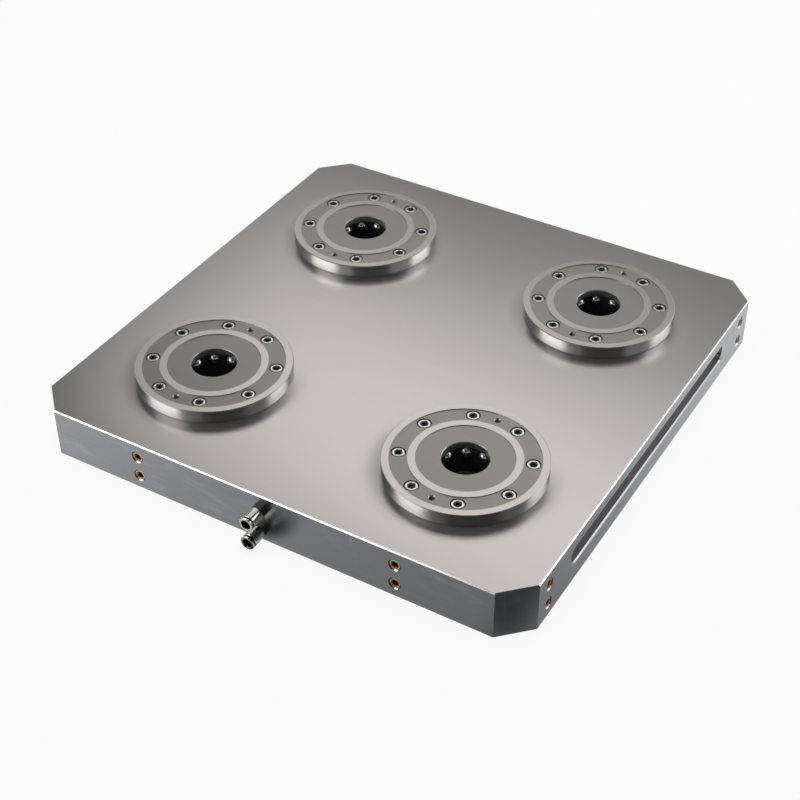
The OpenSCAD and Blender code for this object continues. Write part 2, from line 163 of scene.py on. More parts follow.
# %% Materials under construction
class Finish:
    """A procedural material under construction, with its Principled shader."""

    def __init__(self, name, **constants):
        self.material = bpy.data.materials.new(name)
        self.material.use_nodes = True
        self.tree = self.material.node_tree
        self.shader = self.tree.nodes["Principled BSDF"]
        for socket, value in constants.items():
            self.shader.inputs[socket.replace("_", " ")].default_value = value

    def node(self, kind, settings, inputs, output=0):
        """Adds a node: its settings first, then the values or links of its sockets."""
        made = self.tree.nodes.new(kind)
        for key, value in settings.items():
            setattr(made, key, value)
        for key, value in inputs.items():
            self.join(made.inputs[key], value)
        return Wire(self, made.outputs[output])

    def join(self, socket, value):
        if isinstance(value, Wire):
            self.tree.links.new(value.output, socket)
        else:
            socket.default_value = value

    def place(self):
        """The Object coordinates as a vector and as three numbers, in metres."""
        spot = self.node("ShaderNodeTexCoord", {}, {}, "Object")
        return spot, *self.split(spot)

    def facing(self):
        """The three parts of the surface's direction in the object's own axes."""
        return self.split(self.node("ShaderNodeTexCoord", {}, {}, "Normal"))

    def split(self, vector):
        parts = self.node("ShaderNodeSeparateXYZ", {}, {0: vector})
        outputs = parts.output.node.outputs
        return [Wire(self, outputs[axis]) for axis in "XYZ"]

    def stretched(self, vector, scale):
        """A coordinate with a different scale along each axis."""
        return self.node("ShaderNodeMapping", {}, {"Vector": vector, "Scale": scale})

    def noise(self, vector, scale, detail=3.0, rough=0.55):
        return self.node(
            "ShaderNodeTexNoise",
            {},
            {"Vector": vector, "Scale": scale, "Detail": detail, "Roughness": rough},
        )

    def rise(self, value, low, high, start=0.0, end=1.0):
        """A smooth step: start below low, end above high."""
        return self.node(
            "ShaderNodeMapRange",
            {"interpolation_type": "SMOOTHSTEP"},
            {"Value": value, "From Min": low, "From Max": high, "To Min": start, "To Max": end},
        )

    def mix(self, share, first, second):
        """A colour between two colours."""
        first, second = (c if isinstance(c, Wire) else (*c, 1.0) for c in (first, second))
        return self.node(
            "ShaderNodeMix",
            {"data_type": "RGBA", "clamp_factor": True},
            {"Factor": share, 6: first, 7: second},
            2,
        )

    def shade(self, colour, factor):
        """A colour made lighter or darker by a factor."""
        return self.node(
            "ShaderNodeVectorMath", {"operation": "SCALE"}, {0: colour, "Scale": factor}
        )

    def bump(self, height, strength, depth):
        return self.node(
            "ShaderNodeBump", {}, {"Strength": strength, "Distance": depth, "Height": height}
        )

    def principled(self):
        return Wire(self, self.shader.outputs[0])

    def blend(self, share, first, second):
        """Ends the material with a mix of two shaders."""
        mixed = self.node("ShaderNodeMixShader", {}, {0: share, 1: first, 2: second})
        self.join(self.tree.nodes["Material Output"].inputs["Surface"], mixed)
        return self.material

    def feed(self, **links):
        """Ends the material with links into the Principled shader."""
        for socket, wire in links.items():
            self.join(self.shader.inputs[socket.replace("_", " ")], wire)
        return self.material


def wear(node_name, material):
    """Gives a CAD node a finish in its own material slots."""
    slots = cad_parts[node_name].data.materials
    slots.clear()
    slots.append(material)


print("material helpers:", [name for name in vars(Finish) if not name.startswith("_")])

# %% [markdown]
# ## Plate steel
# The plate is one block of tool steel. Its top is ground, its sides are milled, its edges have a
# bright chamfer, and the grooves are darker inside. The milled sides' colour is darker than the
# top's, partly from the milling and partly as a painted shade. The pockets, and the parts of each
# port countersink that face sideways or down, get a painted shade. It could be split into a piece
# for each face, but one finish can tell the faces apart by the surface's direction and place. So
# the first step is a mask for each kind of face, which is 1 there and 0 elsewhere.

# %% Faces of the plate
PLATE_HALF = 237.5 * MM
PLATE_TOP = 48 * MM
CORNER_CUT = 25 * MM
LEVEL, SLANTED, UPRIGHT = 0.9, 0.58, 0.1
NEAR, HAIR, SKIN = 1 * MM, 0.1 * MM, 0.4 * MM
LIP_DEPTH, LIP_REACH, LIP_DROP = 2 * MM, 170 * MM, 4 * MM
GROOVE_DEPTH, GROOVE_REACH = 40 * MM, 175 * MM
PORT_EDGE = 5 * MM


def plate_faces(x, y, z, nx, ny, nz):
    """Masks of the top, chamfers, groove lips, port countersinks, pockets and grooves."""
    on_top = (nz > LEVEL) * (z > PLATE_TOP - NEAR)
    corner = abs(x) + abs(y) > 2 * PLATE_HALF - CORNER_CUT - NEAR
    squarest = abs(nx).most(abs(ny)).most(abs(nz))
    chamfer = (squarest < LEVEL) * (1 - corner * (abs(nz) < UPRIGHT))
    within = (abs(x) < PLATE_HALF - SKIN) * (abs(y) < PLATE_HALF - SKIN)
    inside = within * (z < PLATE_TOP - HAIR) * (1 - corner) * (1 - chamfer)
    lip = (abs(x) > PLATE_HALF - LIP_DEPTH) * (abs(y) < LIP_REACH) * (z < PLATE_TOP - LIP_DROP)
    port = chamfer * (z > PORT_EDGE) * (z < PLATE_TOP - PORT_EDGE) * (1 - lip) * (nz < SLANTED)
    groove = inside * (abs(x) > PLATE_HALF - GROOVE_DEPTH) * (abs(y) < GROOVE_REACH)
    return on_top, chamfer, chamfer * lip, port, inside, groove


print("plate", 2 * PLATE_HALF, "m wide and", PLATE_TOP, "m thick")

# %% [markdown]
# A milled side isn't even: it has fine lines, worn places, a few long scratches and patches of
# short upright streaks. Each could be painted, but a noise that is stretched along its own
# direction gives the same with no picture.
#
# On the ground top the mirror images of the covers fade quickly. So a painted shadow darkens the
# top in front of each cover, and the top is a little duller there. Behind a cover the same painted
# shadow would show as a halo, so it is left out there. The covers sit at the same distance from
# the plate's middle lines, so the folded coordinates |x| and |y| give one radius that serves all
# four.

# %% Tones of the plate
SCRATCH_GRAIN, STREAK_GRAIN, PATCH_SCALE = (4, 4, 330), (240, 240, 30), 14.0
COVER_RADIUS = 69 * MM
SHADOW_REACH, SHADOW_DEPTH = 16 * MM, 0.25
DULL_REACH, DULL_RISE = 22 * MM, 0.08
FRONT_FULL, FRONT_END = -0.1, 0.7


def module_radius(x, y):
    """Distance from the axis of the nearest module."""
    return distance(abs(x) - PITCH_HALF, abs(y) - PITCH_HALF)


def milled_tone(steel, spot, milling, scuff):
    """Lightness of the milled sides."""
    scratch = steel.noise(steel.stretched(spot, SCRATCH_GRAIN), 1.0, 1.0)
    streak = steel.noise(steel.stretched(spot, STREAK_GRAIN), 1.0, 1.0)
    patch = steel.rise(steel.noise(spot, PATCH_SCALE, 1.0), 0.5, 0.6)
    worn = 0.86 + 0.16 * milling + 0.22 * steel.rise(scuff, 0.5, 0.75)
    scratched = worn + 0.2 * steel.rise(scratch, 0.68, 0.74)
    return scratched + 0.2 * patch * steel.rise(streak, 0.68, 0.76)


def painted_shadow_before_cover(steel, x, y, on_top):
    """Painted shadow and gain of roughness on the top, in front of the nearest cover."""
    radius = module_radius(x, y)
    ahead = (y - PITCH_HALF * y.sign()) / radius
    front = on_top * steel.rise(ahead, FRONT_FULL, FRONT_END, 1.0, 0.0)
    edge = COVER_RADIUS
    shadow = front * steel.rise(radius, edge, edge + SHADOW_REACH, SHADOW_DEPTH, 0.0)
    dullness = front * steel.rise(radius, edge, edge + DULL_REACH, DULL_RISE, 0.0)
    return shadow, dullness


print("shade in front of a cover reaches", SHADOW_REACH, "m")

# %% [markdown]
# Masks and tones now meet in one finish. The kinds of face are painted over each other, from the
# largest to the smallest.

# %% Plate finish
GRINDING_GRAIN, MILLING_GRAIN, SCUFF_GRAIN = (5, 160, 5), (9, 9, 520), (18, 18, 60)
CLOUD_SCALE = 9.0
# The milled sides' colour holds a painted shade, and the port and pocket colours are painted
# shade.
MILLED_AND_SHADED, GROUND, CHAMFER_STEEL = (0.36, 0.37, 0.39), (0.60, 0.581, 0.59), (0.80, 0.80, 0.80)
LIP_STEEL, GROOVE_STEEL = (0.52, 0.52, 0.53), (0.46, 0.45, 0.47)
PORT_SHADE, POCKET_SHADE = (0.10, 0.10, 0.105), (0.12, 0.12, 0.125)


def plate_finish():
    steel = Finish("plate_steel", Metallic=1.0)
    spot, x, y, z = steel.place()
    on_top, chamfer, lip, port, inside, groove = plate_faces(x, y, z, *steel.facing())
    grinding = steel.noise(steel.stretched(spot, GRINDING_GRAIN), 1.0, 2.0)
    cloud = steel.noise(spot, CLOUD_SCALE, 2.0)
    milling = steel.noise(steel.stretched(spot, MILLING_GRAIN), 1.0, 3.0)
    scuff = steel.noise(steel.stretched(spot, SCUFF_GRAIN), 1.0, 5.0, 0.65)
    shadow, dullness = painted_shadow_before_cover(steel, x, y, on_top)
    side = steel.shade(MILLED_AND_SHADED, milled_tone(steel, spot, milling, scuff))
    # The top's colour holds the painted shadow in front of the covers.
    top = steel.shade(GROUND, (0.96 + 0.04 * grinding + 0.04 * cloud) * (1 - shadow))
    colour = steel.mix(on_top, side, top)
    for mask, paint in (
        (chamfer, CHAMFER_STEEL), (port, PORT_SHADE), (lip, LIP_STEEL),
        (inside, POCKET_SHADE), (groove, GROOVE_STEEL),
    ):
        colour = steel.mix(mask, colour, paint)
    rough = 0.27 + 0.08 * scuff * (1 - on_top) + on_top * (0.03 * grinding)
    rough = rough - 0.05 * chamfer + 0.35 * groove + dullness
    lines = steel.bump(milling * (1 - on_top), 0.10, 0.02 * MM)
    return steel.feed(Base_Color=colour, Roughness=rough, Normal=lines)


wear("base_plate", plate_finish())
print("plate finish nodes:", len(bpy.data.materials["plate_steel"].node_tree.nodes))

# %% [markdown]
# ## Cover steel
# Each cover is turned on a lathe. The two raised rings are ground flat and pale, the sunk faces
# between them are fine turned and darker, the broken edges are dull, and the rim's side is
# polished. The side's colour also holds painted light, which is strongest at its foot. A turning
# tool leaves saw-tooth ridges whose long flanks lean. They are too fine to model, so the bump on
# the rim's side gets a slope along the height, which turns the reflections a little upwards. The
# side itself stays straight.

# %% Faces of the cover
COVER_TOP = 60 * MM
RING_DROP, SUNK_DROP = 0.1 * MM, 0.9 * MM
SIDE_RADIUS, INNER_RADIUS = 68 * MM, 62 * MM
EDGE_TILT = 0.3


def cover_faces(radius, z, nz):
    """Masks of the level faces, rings, sunk faces, rim side, bores and broken edges."""
    level = nz > LEVEL
    ring = level * (z > COVER_TOP - RING_DROP)
    sunk = level * (z > COVER_TOP - SUNK_DROP) * (1 - ring)
    outside = (radius > SIDE_RADIUS) * (1 - level)
    below = z < COVER_TOP - SUNK_DROP
    bore = below * (radius < INNER_RADIUS)
    broken = (nz > EDGE_TILT) * (1 - level) * (1 - below)
    return level, ring, sunk, outside, bore, broken


print("covers stand", round(COVER_TOP - PLATE_TOP, 4), "m above the plate")

# %% [markdown]
# The grooves on the rings run round the module's axis, so their noise depends on the radius alone.
# The lines on the side depend almost only on the height.

# %% Cover finish
RIDGE_HEIGHT, RIDGE_LEAN = 0.12 * MM, 0.11
RING_GRAIN, LATHE_GRAIN, SPECK_SCALE = 2600, (6, 6, 2200), 900.0
TURNED, RING_STEEL, SUNK_STEEL = (0.62, 0.612, 0.595), (0.64, 0.626, 0.62), (0.395, 0.385, 0.37)
BORE_STEEL, EDGE_STEEL = (0.62, 0.615, 0.60), (0.42, 0.415, 0.40)
SIDE_FOOT_PAINTED_LIGHT, SIDE_HEAD = (0.84, 0.83, 0.81), (0.74, 0.73, 0.71)


def cover_finish():
    steel = Finish("cover_steel", Metallic=1.0)
    spot, x, y, z = steel.place()
    radius = module_radius(x, y)
    level, ring, sunk, outside, bore, broken = cover_faces(radius, z, steel.facing()[2])
    outwards = steel.node("ShaderNodeCombineXYZ", {}, {0: radius * RING_GRAIN, 1: 0.0, 2: 0.0})
    grooves = steel.noise(outwards, 1.0, 3.0)
    lathe = steel.noise(steel.stretched(spot, LATHE_GRAIN), 1.0, 3.0)
    speck = steel.noise(spot, SPECK_SCALE, 2.0)
    # Painted light: the rim's side is lighter towards its foot.
    side = steel.mix(steel.rise(z, PLATE_TOP, COVER_TOP - NEAR), SIDE_FOOT_PAINTED_LIGHT, SIDE_HEAD)
    colour = steel.mix(outside, TURNED, side)
    for mask, paint in (
        (ring, RING_STEEL), (sunk, SUNK_STEEL), (bore, BORE_STEEL), (broken, EDGE_STEEL),
    ):
        colour = steel.mix(mask, colour, paint)
    colour = steel.shade(colour, 0.93 + 0.09 * grooves + 0.05 * speck)
    rough = 0.10 + 0.18 * ring + 0.29 * sunk + 0.30 * bore + 0.04 * outside + 0.2 * broken
    rough = rough + 0.05 * speck + 0.03 * lathe
    height = (grooves * level + lathe * (1 - level)) * 0.02 + lathe * (bore + 0.10 * outside)
    height = height + outside * (COVER_TOP - z) * (RIDGE_LEAN / RIDGE_HEIGHT)
    ridges = steel.bump(height, 1.0, RIDGE_HEIGHT)
    return steel.feed(Base_Color=colour, Roughness=rough, Normal=ridges)


cover_steel = cover_finish()
for module in MODULES:
    wear(f"cover_{module}", cover_steel)
print("covers finished:", len(MODULES))

# %% [markdown]
# ## The ball lock's metals
# The cage is blackened, the balls are polished bearing steel, the piston is turned and the disc
# springs are rolled. Most of this is deep in the bore, so dark tones with a little variation do.

# %% Inner finishes
BALLS = 8


def plain_metal(name, base, rough, spread, grain_scale, metallic=1.0):
    """A metal whose tone and roughness wander a little over the surface."""
    metal = Finish(name, Metallic=metallic)
    spot = metal.place()[0]
    grain = metal.noise(spot, grain_scale, 4.0)
    fine = metal.noise(spot, grain_scale * 9, 2.0)
    return metal.feed(
        Base_Color=metal.shade(base, 1 - spread + 2 * spread * grain),
        Roughness=rough + 0.12 * (fine - 0.5),
        Normal=metal.bump(fine, 0.06, 0.01 * MM),
    )


cage_black = plain_metal("cage_black", (0.06, 0.06, 0.062), 0.40, 0.25, 160.0, 0.6)
ball_polish = plain_metal("ball_polish", (0.85, 0.85, 0.86), 0.22, 0.05, 120.0)
piston_turned = plain_metal("piston_turned", (0.30, 0.30, 0.31), 0.32, 0.12, 140.0)
spring_rolled = plain_metal("spring_rolled", (0.25, 0.25, 0.27), 0.36, 0.15, 90.0)
seal_rubber = plain_metal("seal_rubber", (0.022, 0.022, 0.022), 0.62, 0.2, 300.0, 0.0)
for module in MODULES:
    wear(f"ball_cage_{module}", cage_black)
    wear(f"lock_piston_{module}", piston_turned)
    wear(f"disc_springs_{module}", spring_rolled)
    wear(f"piston_seals_{module}", seal_rubber)
    for ball in range(1, BALLS + 1):
        wear(f"ball_{module}_{ball}", ball_polish)
for rubber in ("cover_seals", "tube_seals"):
    wear(rubber, seal_rubber)
print("balls finished:", BALLS * len(MODULES))

# %% [markdown]
# ## Fittings
# Bodies and collars are nickel plated. Both lie on axes that run out of the front face. Each face
# could get a material of its own, but the distance from the nearer axis already tells the bright
# outside from the bore that takes the tube, which gets a painted shade. The distance from the
# front face tells the foot and the gap behind the collar, which get a painted shade too.

# %% Fitting finish
PORT_ROWS = (34 * MM, 14 * MM)
TUBE_BORE = 4.4 * MM
FOOT_END = 6 * MM
GAP_START, GAP_END = 18.1 * MM, 19.35 * MM
NICKEL, FOOT_SHADE, HOLLOW_SHADE = (0.70, 0.695, 0.66), (0.10, 0.095, 0.09), (0.02, 0.02, 0.02)


def fitting_finish():
    nickel = Finish("fitting_nickel", Metallic=1.0)
    spot, x, y, z = nickel.place()
    row = abs(z - PORT_ROWS[0]).least(abs(z - PORT_ROWS[1]))
    foot = y > -PLATE_HALF - FOOT_END
    gap = (y < -PLATE_HALF - GAP_START) * (y > -PLATE_HALF - GAP_END)
    hollow = (distance(x, row) < TUBE_BORE).most(gap)
    cloudy = nickel.noise(spot, 180.0, 4.0)
    # The foot, the tube bore and the gap behind the collar get painted shade.
    colour = nickel.shade(nickel.mix(foot, NICKEL, FOOT_SHADE), 0.9 + 0.2 * cloudy)
    colour = nickel.mix(hollow, colour, HOLLOW_SHADE)
    rough = 0.12 + 0.10 * cloudy + 0.3 * hollow + 0.1 * foot
    return nickel.feed(Base_Color=colour, Roughness=rough)


fitting_nickel = fitting_finish()
for plated in ("fitting_bodies", "release_collar_upper", "release_collar_lower"):
    wear(plated, fitting_nickel)
print("fitting axes at heights", PORT_ROWS)

# %% [markdown]
# ## Turned shapes
# Screws, plugs, springs and threads are all round, so each starts as half an outline that is spun
# about an axis. The spin's seam and the points on the axis are merged, and the faces turned
# outwards.

# %% Helpers for turned shapes
MERGE_DISTANCE = 0.002 * MM


def as_mesh(name, shape):
    """Ends a bmesh as a mesh."""
    mesh = bpy.data.meshes.new(name)
    shape.to_mesh(mesh)
    shape.free()
    return mesh


def outline(shape, points):
    """Joins points (radius, height) in millimetres into a chain of edges in the XZ plane."""
    corners = [shape.verts.new((r * MM, 0, h * MM)) for r, h in points]
    edges = [shape.edges.new(pair) for pair in zip(corners, corners[1:])]
    return corners + edges


def turned(points, steps):
    """A bmesh made by a full spin of an outline about the Z axis."""
    shape = bmesh.new()
    bmesh.ops.spin(
        shape, geom=outline(shape, points), cent=(0, 0, 0), axis=(0, 0, 1),
        angle=math.tau, steps=steps, use_merge=True,
    )
    bmesh.ops.remove_doubles(shape, verts=shape.verts, dist=MERGE_DISTANCE)
    bmesh.ops.recalc_face_normals(shape, faces=shape.faces)
    return shape


print("points closer than", MERGE_DISTANCE, "m are merged")

# %% [markdown]
# Most of these pieces are there many times. One pattern is made and copied to each place inside
# one mesh, so that the object itself stays at the origin. Edges flatter than an angle are shaded
# smooth, and the piece is told which body of the CAD model it rides on.

# %% Helpers for pieces
SMOOTH_ANGLE = math.radians(35)


def place_copies(pattern, places):
    """One bmesh with a copy of a pattern at each place, a 4x4 matrix."""
    whole = bmesh.new()
    mesh = as_mesh("pattern", pattern)
    for place in places:
        before = len(whole.verts)
        whole.from_mesh(mesh)
        whole.verts.ensure_lookup_table()
        bmesh.ops.transform(whole, matrix=place, verts=whole.verts[before:])
    bpy.data.meshes.remove(mesh)
    return whole


def finished_piece(name, shape, materials, body):
    """Turns a bmesh into an object that rides on a CAD body, shaded smooth up to an angle."""
    for edge in shape.edges:
        edge.smooth = len(edge.link_faces) == 2 and edge.calc_face_angle() < SMOOTH_ANGLE
    for face in shape.faces:
        face.smooth = True
    mesh = as_mesh(name, shape)
    for material in materials:
        mesh.materials.append(material)
    piece = add_object(name, mesh)
    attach(piece, body)
    print(name, "faces:", len(mesh.polygons))
    return piece


def module_place(module, height=0.0):
    side_x, side_y = MODULES[module]
    return Matrix.Translation((side_x * PITCH_HALF, side_y * PITCH_HALF, height))


print("module axes:", [tuple(round(v, 3) for v in module_place(m).translation) for m in MODULES])

# %% [markdown]
# ## Hexagon sockets
# Screws and plugs are turned by a hexagon key. A socket could be cut out with a boolean, but the
# spun outline already has a round one, so its rows are pushed out to a hexagon. The faces in the
# socket get a second material, a darker painted shade, since little light reaches them.

# %% Hexagon sockets
TURNED_STEPS = 48
ROW_WIDTH = 0.001 * MM


def hexagon_reach(angle, flats):
    """Distance from a hexagon's middle to its side, in millimetres, at an angle."""
    third = math.radians(60)
    return flats / 2 / math.cos((angle + third / 2) % third - third / 2)


def make_socket(shape, row, flats, mouth, floor):
    """Pushes the rows at one radius out to a hexagon, with the second material in the socket."""
    for vert in shape.verts:
        if abs(vert.co.xy.length - row * MM) < ROW_WIDTH and vert.co.z > floor * MM:
            vert.co.xy *= hexagon_reach(math.atan2(vert.co.y, vert.co.x), flats) / row
    for face in shape.faces:
        middle = face.calc_center_median()
        face.material_index = int(middle.xy.length < mouth * MM and middle.z > floor * MM)


print("a 5 mm socket reaches", round(hexagon_reach(math.radians(30), 5.0), 2), "mm at a corner")

# %% [markdown]
# ## Cover screws
# Eight socket head cap screws hold each cover. A real head has a rounded edge, a knurled side and
# a hexagon socket with a small countersink. The outline is spun, and then every second row of the
# side is drawn in for the knurl. Each screw is turned differently, as after tightening.

# %% Cover screws
SCREWS, FIRST_SCREW = 8, 22.5
SCREW_CIRCLE = 55 * MM
HEAD_TOP = 59.1 * MM
HEAD_RADIUS, LEAD_IN = 5.5, 3.5
SOCKET_ROW, SOCKET_FLATS, SOCKET_FLOOR = 2.7, 5.0, -4.5
KNURL = 0.975
TURN_SPREAD = 3.7


def cap_screw():
    """One cap screw on the Z axis, with its head's top at height 0."""
    shape = turned(
        [
            (0, -26), (2.6, -26), (3, -25.6), (3, -6), (5.2, -6), (HEAD_RADIUS, -5.7),
            (HEAD_RADIUS, -0.6), (5.38, -0.25), (5.12, -0.05), (4.85, 0), (LEAD_IN, 0),
            (SOCKET_ROW, -0.6), (SOCKET_ROW, -3.2), (0, -3.9),
        ],
        TURNED_STEPS,
    )
    for vert in shape.verts:
        row = round(math.atan2(vert.co.y, vert.co.x) / math.tau * TURNED_STEPS)
        if vert.co.xy.length > (HEAD_RADIUS - 0.01) * MM and row % 2:
            vert.co.xy *= KNURL
    make_socket(shape, SOCKET_ROW, SOCKET_FLATS, LEAD_IN, SOCKET_FLOOR)
    return shape


def screw_places():
    for module in MODULES:
        for k in range(SCREWS):
            angle = math.radians(FIRST_SCREW + 360 / SCREWS * k)
            x, y = SCREW_CIRCLE * math.cos(angle), SCREW_CIRCLE * math.sin(angle)
            turn = Matrix.Rotation(angle * TURN_SPREAD + module, 4, "Z")
            yield module_place(module, HEAD_TOP) @ Matrix.Translation((x, y, 0)) @ turn


screw_bright = plain_metal("screw_bright", (0.74, 0.74, 0.73), 0.26, 0.08, 260.0)
# The second material of the screws is a painted shade for their sockets.
socket_shade = plain_metal("socket_shade", (0.10, 0.10, 0.102), 0.5, 0.2, 300.0, 0.5)
screw_shape = place_copies(cap_screw(), screw_places())
cap_screws = finished_piece(
    "cap_screws", screw_shape, [screw_bright, socket_shade], "plate"
)
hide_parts("cover_screws")

# %% [markdown]
# ## Plug alloys
# The plugs close the drilled air channels. Some look like yellow brass and some like red copper,
# and the two plugs of a pair differ, so the signs of two coordinates pick the alloy of each plug.

# %% Plug finish
COPPER, BRASS = (0.62, 0.44, 0.33), (0.66, 0.56, 0.38)
STAIN_SCALE = 420.0


def plug_finish():
    alloy = Finish("plug_alloy", Metallic=1.0)
    spot, x, _, z = alloy.place()
    stain = alloy.noise(spot, STAIN_SCALE, 4.0)
    colour = alloy.mix(x * (z - PLATE_TOP / 2) > 0.0, COPPER, BRASS)
    colour = alloy.shade(colour, 0.7 + 0.6 * stain)
    pits = alloy.bump(stain, 0.15, 0.03 * MM)
    return alloy.feed(Base_Color=colour, Roughness=0.07 + 0.12 * stain, Normal=pits)


plug_alloy = plug_finish()
# The plug sockets' material is a painted shade.
plug_shade = plain_metal("plug_shade", (0.38, 0.18, 0.085), 0.5, 0.25, 300.0)
print("plug materials:", plug_alloy.name, plug_shade.name)

# %% [markdown]
# ## Screw plugs
# The channels come out in two rows on each face. A plug is spun and gets its hexagon as a screw
# does. Its socket has a wide countersink, so only a narrow rim of the face stays bright.

# %% Screw plugs
PLUG_SINK = 0.6 * MM
PORT_X, PORT_Y = 125 * MM, 195 * MM
PLUG_LEAD_IN = 3.8
PLUG_ROW, PLUG_FLATS, PLUG_FLOOR = 2.95, 5.5, -5
QUARTER = math.pi / 2


def screw_plug():
    """One plug on the Z axis, with its face at height 0."""
    shape = turned(
        [
            (0, -8), (4.55, -8), (4.85, -7.7), (4.85, -0.5), (4.7, -0.15), (4.45, 0),
            (PLUG_LEAD_IN, 0), (PLUG_ROW, -0.7), (PLUG_ROW, -4), (0, -4.6),
        ],
        TURNED_STEPS,
    )
    make_socket(shape, PLUG_ROW, PLUG_FLATS, PLUG_LEAD_IN, PLUG_FLOOR)
    return shape


def plug_places():
    for row in PORT_ROWS:
        for side in (-1, 1):
            for end in (-1, 1):
                sink = side * (PLATE_HALF - PLUG_SINK)
                on_front = Matrix.Translation((end * PORT_X, sink, row))
                on_side = Matrix.Translation((sink, end * PORT_Y, row))
                yield on_front @ Matrix.Rotation(-side * QUARTER, 4, "X")
                yield on_side @ Matrix.Rotation(side * QUARTER, 4, "Y")


plug_shape = place_copies(screw_plug(), plug_places())
screw_plugs = finished_piece(
    "screw_plugs", plug_shape, [plug_alloy, plug_shade], "plate"
)
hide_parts("channel_plugs")

# %% [markdown]
# ## Threads of the jack holes
# Two tapped holes in each cover take jack screws that lift it off. A small triangle is spun with
# a step down along the axis, which makes a helical ridge on the wall of the drilled hole.

# %% Jack hole threads
THREAD_PITCH, THREAD_TURNS, THREAD_STEPS = 1.0, 6, 24
THREAD_WALL, THREAD_CREST, THREAD_SHARE = 2.52, 2.2, 0.96
THREAD_TOP = 58.2 * MM


def thread_ridge():
    """A helical ridge of triangular section on a drilled wall, hanging down from height 0."""
    shape = bmesh.new()
    start = outline(shape, [
        (THREAD_WALL, 0),
        (THREAD_CREST, -THREAD_PITCH / 2),
        (THREAD_WALL, -THREAD_PITCH * THREAD_SHARE),
    ])
    shape.edges.new((start[2], start[0]))
    shape.faces.new(start[:3])
    bmesh.ops.spin(
        shape, geom=list(shape.faces) + list(shape.edges) + list(shape.verts),
        cent=(0, 0, 0), axis=(0, 0, 1), dvec=(0, 0, -THREAD_PITCH * MM / THREAD_STEPS),
        angle=math.tau * THREAD_TURNS, steps=THREAD_STEPS * THREAD_TURNS, use_duplicate=False,
    )
    bmesh.ops.recalc_face_normals(shape, faces=shape.faces)
    return shape


# The thread ridges get a dark painted shade, as the tapped holes lie in shade.
thread_shade = plain_metal("thread_shade", (0.22, 0.22, 0.22), 0.3, 0.1, 300.0)
jack_places = [
    module_place(module, THREAD_TOP) @ Matrix.Translation((0, side * SCREW_CIRCLE, 0))
    for module in MODULES
    for side in (-1, 1)
]
thread_shape = place_copies(thread_ridge(), jack_places)
finished_piece("jack_threads", thread_shape, [thread_shade], "plate")

# %% [markdown]
# ## Disc springs
# Four conical discs under each piston push it up and lock the balls. When air drives the piston
# down, the pack is pressed flat. A rigid CAD solid cannot do that, so each pack is turned again
# as a piece of its own, with its own mesh.

# %% Disc springs
SPRING_FOOT = 8.0
SPRING_HEIGHT, PISTON_STROKE = 16.0, 6.0
DISCS, DISC_STEPS = 4, 72
DISC_INNER, DISC_OUTER, DISC_THICK = 29.45, 43.0, 1.8
DISC_GAP, DISC_EDGE = 0.05, 0.3


def disc_section(k):
    """Closed outline of one disc with broken edges. Every second disc lies upside down."""
    pitch = SPRING_HEIGHT / DISCS
    low, high = (DISC_OUTER, DISC_INNER) if k % 2 == 0 else (DISC_INNER, DISC_OUTER)
    foot, top = k * pitch + DISC_GAP, (k + 1) * pitch - DISC_GAP
    inwards = DISC_EDGE if high < low else -DISC_EDGE
    return [
        (low, foot + DISC_EDGE), (low - inwards, foot), (high, top - DISC_THICK),
        (high, top - DISC_EDGE), (high + inwards, top), (low, foot + DISC_THICK),
        (low, foot + DISC_EDGE),
    ]


def spring_pack():
    """Discs stacked rim to rim and bore to bore from height 0."""
    pack = bmesh.new()
    for k in range(DISCS):
        mesh = as_mesh("disc", turned(disc_section(k), DISC_STEPS))
        pack.from_mesh(mesh)
        bpy.data.meshes.remove(mesh)
    return pack


for module in MODULES:
    pack = place_copies(spring_pack(), [module_place(module, SPRING_FOOT * MM)])
    springs = finished_piece(
        f"spring_pack_{module}", pack, [spring_rolled], "plate"
    )
    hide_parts(f"disc_springs_{module}")
    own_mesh(springs)

# %% [markdown]
# ## The studio
# The floor and the wall around it are plain white. Painted white alone would look grey away from
# the lamps, and pure glow would take no shadow. So most of the white that the camera and the
# metal's reflections see is glow, and the rest is paint, which keeps a soft shadow.

# %% Floor and backdrop
FLOOR_RADIUS, FLOOR_SEGMENTS = 6.0, 96
WALL_HEIGHT = 2.2
PAINT = (0.86, 0.86, 0.86, 1.0)
GLOW_SHARE = 0.91


def studio_white():
    paper = Finish("studio_white", Roughness=0.9, Base_Color=PAINT)
    seen = paper.node("ShaderNodeLightPath", {}, {}, "Is Camera Ray")
    rays = seen.output.node.outputs
    for kind in ("Is Glossy Ray", "Is Transmission Ray"):
        seen = seen + Wire(paper, rays[kind])
    glow = paper.node("ShaderNodeEmission", {}, {"Color": (1, 1, 1, 1), "Strength": 1.0})
    return paper.blend(seen.least(GLOW_SHARE), paper.principled(), glow)


sweep = bmesh.new()
bmesh.ops.create_circle(sweep, cap_ends=True, segments=FLOOR_SEGMENTS, radius=FLOOR_RADIUS)
rim = [e for e in sweep.edges if e.is_boundary]
wall = bmesh.ops.extrude_edge_only(sweep, edges=rim)["geom"]
wall_top = [v for v in wall if isinstance(v, bmesh.types.BMVert)]
bmesh.ops.translate(sweep, verts=wall_top, vec=(0, 0, WALL_HEIGHT))
floor_mesh = as_mesh("studio_floor", sweep)
floor = add_object("studio_floor", floor_mesh)
floor_mesh.materials.append(studio_white())
print("floor radius", FLOOR_RADIUS)

# %% [markdown]
# ## Lights
# Ground metal mirrors whatever stands above it, so one large soft box hangs behind the plate: the
# front of the plate mirrors it and the back does not, which gives the long falloff over the top.
# A weak box further back softens the falloff's end. Two low boxes, left and right, make the
# bright bands on the rims. A large box above lights the floor and isn't mirrored.

# %% Soft boxes
BACK, FILL, ABOVE = (-0.42, 0.87), (-0.12, 1.62), (0.1, -0.1)
BACK_HEIGHT, TOP_HEIGHT = 1.05, 2.4
WARM, IVORY = (1.0, 0.968, 0.92), (1.0, 0.985, 0.955)


